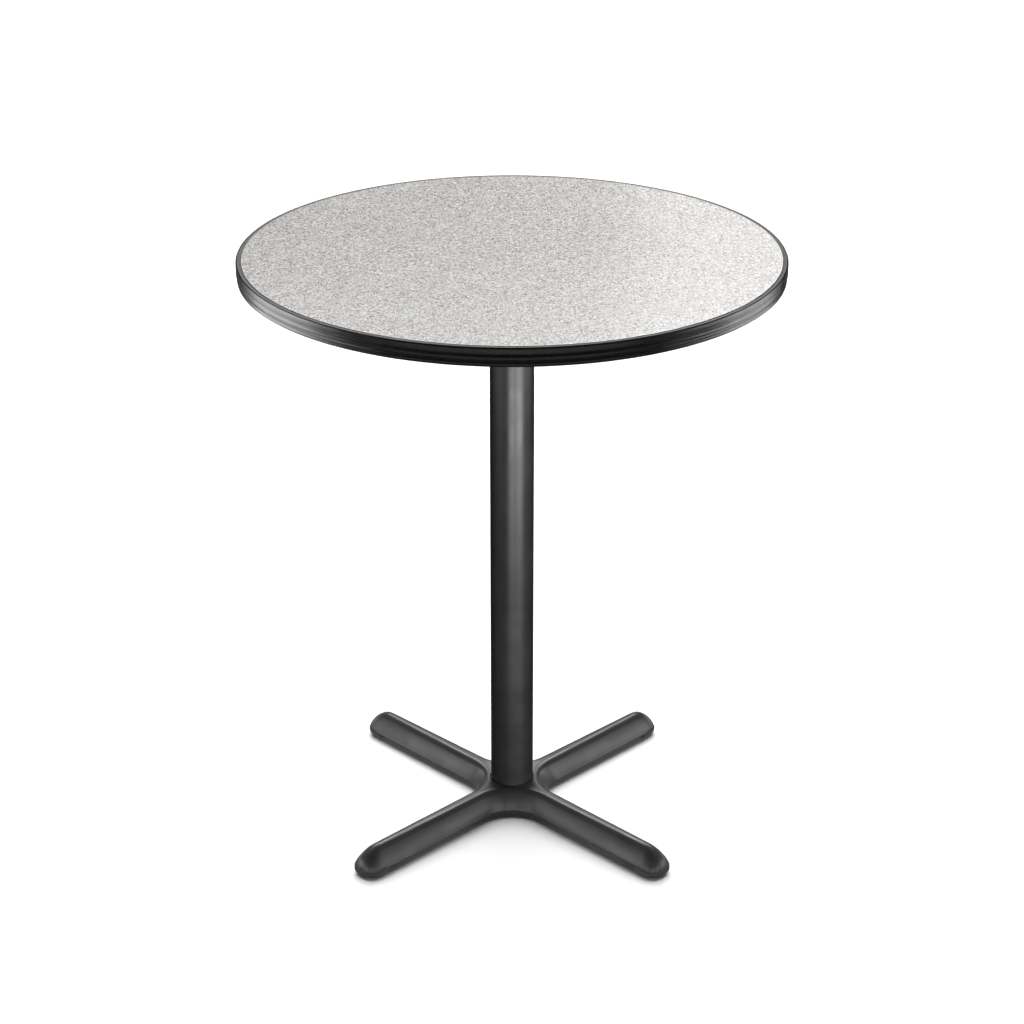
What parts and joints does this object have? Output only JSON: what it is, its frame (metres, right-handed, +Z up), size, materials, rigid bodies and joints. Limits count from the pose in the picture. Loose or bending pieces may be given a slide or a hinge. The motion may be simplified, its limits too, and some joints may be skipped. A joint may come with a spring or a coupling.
{
  "type": "cafe table",
  "caption": "Bar-height round cafe table: speckled laminate top with ribbed black edge molding, steel column and cast cross base on screwed levelling glides.",
  "frame": {"origin": "on the floor, under the middle of the column, with all glides screwed fully in", "axes": "+Z up along the column; the arms of the base lie on the diagonals between X and Y; -Y is the side that faces the camera in the picture"},
  "size_m": [0.9144, 0.9144, 1.05],
  "materials": {
    "laminate": "satin decorative laminate with a fine grey speckle",
    "board": "raw particle board",
    "backer": "matt brown balancing sheet",
    "vinyl": "black vinyl, satin, ribbed",
    "spider_coat": "black powder coat on a rough casting",
    "screw_steel": "zinc plated",
    "column_coat": "black textured powder coat",
    "rod_steel": "zinc plated thread",
    "nut_steel": "zinc plated",
    "base_coat": "smooth satin black powder coat on a casting",
    "nylon": "black nylon",
    "stem_steel": "zinc plated thread"
  },
  "bodies": {
    "table": {"laminate_sheet": "laminate", "core_board": "board", "backer_sheet": "backer", "edge_molding": "vinyl", "top_spider": "spider_coat", "spider_screw_back_right_inner": "screw_steel", "spider_screw_back_right_outer": "screw_steel", "spider_screw_back_left_inner": "screw_steel", "spider_screw_back_left_outer": "screw_steel", "spider_screw_front_left_inner": "screw_steel", "spider_screw_front_left_outer": "screw_steel", "spider_screw_front_right_inner": "screw_steel", "spider_screw_front_right_outer": "screw_steel", "column_tube": "column_coat", "tie_rod": "rod_steel", "rod_washer_top": "nut_steel", "rod_nut_top": "nut_steel", "rod_washer_bottom": "nut_steel", "rod_nut_bottom": "nut_steel", "x_base": "base_coat"},
    "pad_back_right": {"glide_pad_back_right": "nylon"},
    "stem_back_right": {"glide_stem_back_right": "stem_steel"},
    "pad_back_left": {"glide_pad_back_left": "nylon"},
    "stem_back_left": {"glide_stem_back_left": "stem_steel"},
    "pad_front_left": {"glide_pad_front_left": "nylon"},
    "stem_front_left": {"glide_stem_front_left": "stem_steel"},
    "pad_front_right": {"glide_pad_front_right": "nylon"},
    "stem_front_right": {"glide_stem_front_right": "stem_steel"}
  },
  "joints": [
    {"name": "glide_drop_back_right", "type": "slide", "parent": "table", "child": "pad_back_right", "axis": [0, 0, -1], "range_m": [0, 0.0113]},
    {"name": "glide_screw_back_right", "type": "hinge", "parent": "pad_back_right", "child": "stem_back_right", "pos_m": [0.24749, 0.24749, 0.02], "axis": [0, 0, -1], "range_deg": [0, 2880]},
    {"name": "glide_drop_back_left", "type": "slide", "parent": "table", "child": "pad_back_left", "axis": [0, 0, -1], "range_m": [0, 0.0113]},
    {"name": "glide_screw_back_left", "type": "hinge", "parent": "pad_back_left", "child": "stem_back_left", "pos_m": [-0.24749, 0.24749, 0.02], "axis": [0, 0, -1], "range_deg": [0, 2880]},
    {"name": "glide_drop_front_left", "type": "slide", "parent": "table", "child": "pad_front_left", "axis": [0, 0, -1], "range_m": [0, 0.0113]},
    {"name": "glide_screw_front_left", "type": "hinge", "parent": "pad_front_left", "child": "stem_front_left", "pos_m": [-0.24749, -0.24749, 0.02], "axis": [0, 0, -1], "range_deg": [0, 2880]},
    {"name": "glide_drop_front_right", "type": "slide", "parent": "table", "child": "pad_front_right", "axis": [0, 0, -1], "range_m": [0, 0.0113]},
    {"name": "glide_screw_front_right", "type": "hinge", "parent": "pad_front_right", "child": "stem_front_right", "pos_m": [0.24749, -0.24749, 0.02], "axis": [0, 0, -1], "range_deg": [0, 2880]}
  ],
  "couplings": [
    {"joint": "glide_drop_back_right", "follows": "glide_screw_back_right", "m_per_rad": 0.00022458},
    {"joint": "glide_drop_back_left", "follows": "glide_screw_back_left", "m_per_rad": 0.00022458},
    {"joint": "glide_drop_front_left", "follows": "glide_screw_front_left", "m_per_rad": 0.00022458},
    {"joint": "glide_drop_front_right", "follows": "glide_screw_front_right", "m_per_rad": 0.00022458}
  ]
}
